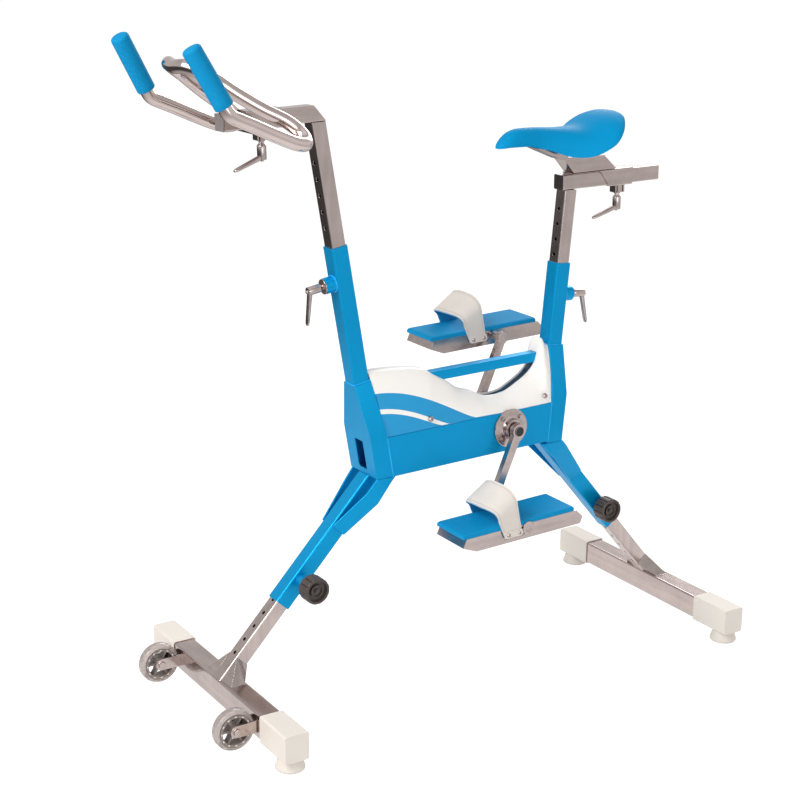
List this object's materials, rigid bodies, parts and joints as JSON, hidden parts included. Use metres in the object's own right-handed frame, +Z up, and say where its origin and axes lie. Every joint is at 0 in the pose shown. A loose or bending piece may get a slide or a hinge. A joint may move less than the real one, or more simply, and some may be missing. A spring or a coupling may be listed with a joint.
{
  "type": "aqua bike",
  "caption": "Underwater exercise bicycle with a hollow plate frame, sliding handlebar, seat and legs, cranks with strapped platform pedals, and transport wheels.",
  "frame": {"origin": "middle of the footprint on the floor that the feet stand on", "axes": "+X to the rear, from handlebar to seat; +Y to the rider's right; +Z up"},
  "size_m": [1.2038, 0.566, 1.2867],
  "materials": {
    "frame_blue": "gloss",
    "steel": "satin",
    "polished_steel": "polished",
    "white_plastic": "satin",
    "white_rubber": "matte",
    "foam_blue": "matte",
    "grip_blue": "matte",
    "saddle_blue": "matte",
    "strap_white": "matte",
    "black_plastic": "matte",
    "clear_wheel": "gloss"
  },
  "bodies": {
    "frame": {"main_beam": "frame_blue", "front_node": "frame_blue", "rear_node": "frame_blue", "mast_sleeve": "frame_blue", "seat_sleeve": "frame_blue", "front_leg_sleeve": "frame_blue", "rear_leg_sleeve": "frame_blue", "front_cheek_left": "frame_blue", "front_cheek_right": "frame_blue", "rear_cheek_left": "frame_blue", "rear_cheek_right": "frame_blue", "top_brace": "frame_blue", "fairing": "white_plastic", "left_bearing": "steel", "right_bearing": "steel", "left_flange": "steel", "right_flange": "steel"},
    "crank": {"spindle": "steel", "left_crank": "steel", "right_crank": "steel", "left_pedal_axle": "steel", "right_pedal_axle": "steel"},
    "left_pedal": {"left_pedal_tray": "steel", "left_pedal_pad": "foam_blue", "left_pedal_strap": "strap_white"},
    "right_pedal": {"right_pedal_tray": "steel", "right_pedal_pad": "foam_blue", "right_pedal_strap": "strap_white"},
    "mast_post": {"handlebar_post": "polished_steel", "handlebar_stem": "polished_steel", "stem_plug": "black_plastic"},
    "handlebar": {"handlebar_slider": "polished_steel", "handlebar_tube": "polished_steel", "left_grip": "grip_blue", "right_grip": "grip_blue"},
    "handlebar_clamp": {"handlebar_lever": "steel"},
    "mast_clamp": {"mast_lever": "steel"},
    "seat_tower": {"seat_post": "polished_steel", "seat_rail": "polished_steel"},
    "seat": {"seat_slider": "polished_steel", "saddle_bracket": "polished_steel", "saddle": "saddle_blue"},
    "rail_clamp": {"rail_lever": "steel"},
    "seat_clamp": {"seat_lever": "steel"},
    "front_leg": {"front_leg_tube": "polished_steel", "front_bar": "polished_steel", "front_left_cap": "white_plastic", "front_right_cap": "white_plastic", "front_left_foot": "white_rubber", "front_right_foot": "white_rubber"},
    "rear_leg": {"rear_leg_tube": "polished_steel", "rear_bar": "polished_steel", "rear_left_cap": "white_plastic", "rear_right_cap": "white_plastic", "rear_left_foot": "white_rubber", "rear_right_foot": "white_rubber"},
    "left_transport_wheel": {"left_wheel": "clear_wheel"},
    "right_transport_wheel": {"right_wheel": "clear_wheel"},
    "front_knob": {"front_leg_knob": "black_plastic"},
    "rear_knob": {"rear_leg_knob": "black_plastic"}
  },
  "joints": [
    {"name": "crank_spin", "type": "hinge", "parent": "frame", "child": "crank", "pos_m": [0.14487, 0, 0.488], "axis": [0, 1, 0], "continuous": true},
    {"name": "left_pedal_spin", "type": "hinge", "parent": "crank", "child": "left_pedal", "pos_m": [0.08173, -0.156, 0.33556], "axis": [0, 1, 0], "continuous": true},
    {"name": "right_pedal_spin", "type": "hinge", "parent": "crank", "child": "right_pedal", "pos_m": [0.20801, 0.156, 0.64044], "axis": [0, 1, 0], "continuous": true},
    {"name": "handlebar_height", "type": "slide", "parent": "frame", "child": "mast_post", "axis": [-0.1771, 0, 0.9842], "range_m": [-0.15, 0.06]},
    {"name": "handlebar_reach", "type": "slide", "parent": "mast_post", "child": "handlebar", "axis": [0.9993, 0, 0.0366], "range_m": [-0.04, 0.05]},
    {"name": "handlebar_clamp_turn", "type": "hinge", "parent": "handlebar", "child": "handlebar_clamp", "pos_m": [-0.38634, 0, 1.09697], "axis": [-0.0366, 0, 0.9993], "range_deg": [-90, 90]},
    {"name": "mast_clamp_turn", "type": "hinge", "parent": "frame", "child": "mast_clamp", "pos_m": [-0.25993, 0, 0.8161], "axis": [0.9842, 0, 0.1771], "range_deg": [-120, 120]},
    {"name": "seat_height", "type": "slide", "parent": "frame", "child": "seat_tower", "axis": [0.0872, 0, 0.9962], "range_m": [-0.09, 0.05]},
    {"name": "seat_reach", "type": "slide", "parent": "seat_tower", "child": "seat", "axis": [0.9999, 0, 0.014], "range_m": [-0.04, 0.07]},
    {"name": "rail_clamp_turn", "type": "hinge", "parent": "seat", "child": "rail_clamp", "pos_m": [0.43712, 0, 0.93713], "axis": [-0.014, 0, 0.9999], "range_deg": [-90, 90]},
    {"name": "seat_clamp_turn", "type": "hinge", "parent": "frame", "child": "seat_clamp", "pos_m": [0.32462, 0, 0.73655], "axis": [0.9962, 0, -0.0872], "range_deg": [-120, 120]},
    {"name": "front_leg_length", "type": "slide", "parent": "frame", "child": "front_leg", "axis": [-0.6807, 0, -0.7325], "range_m": [-0.09, 0.06]},
    {"name": "rear_leg_length", "type": "slide", "parent": "frame", "child": "rear_leg", "axis": [0.6508, 0, -0.7593], "range_m": [-0.09, 0.06]},
    {"name": "left_wheel_roll", "type": "hinge", "parent": "front_leg", "child": "left_transport_wheel", "pos_m": [-0.54803, -0.163, 0.054], "axis": [0, 1, 0], "continuous": true},
    {"name": "right_wheel_roll", "type": "hinge", "parent": "front_leg", "child": "right_transport_wheel", "pos_m": [-0.54803, 0.163, 0.054], "axis": [0, 1, 0], "continuous": true},
    {"name": "front_knob_turn", "type": "hinge", "parent": "frame", "child": "front_knob", "pos_m": [-0.32329, -0.05, 0.24495], "axis": [0, 1, 0], "range_deg": [0, 270]},
    {"name": "rear_knob_turn", "type": "hinge", "parent": "frame", "child": "rear_knob", "pos_m": [0.41412, -0.05, 0.25856], "axis": [0, 1, 0], "range_deg": [0, 270]}
  ]
}
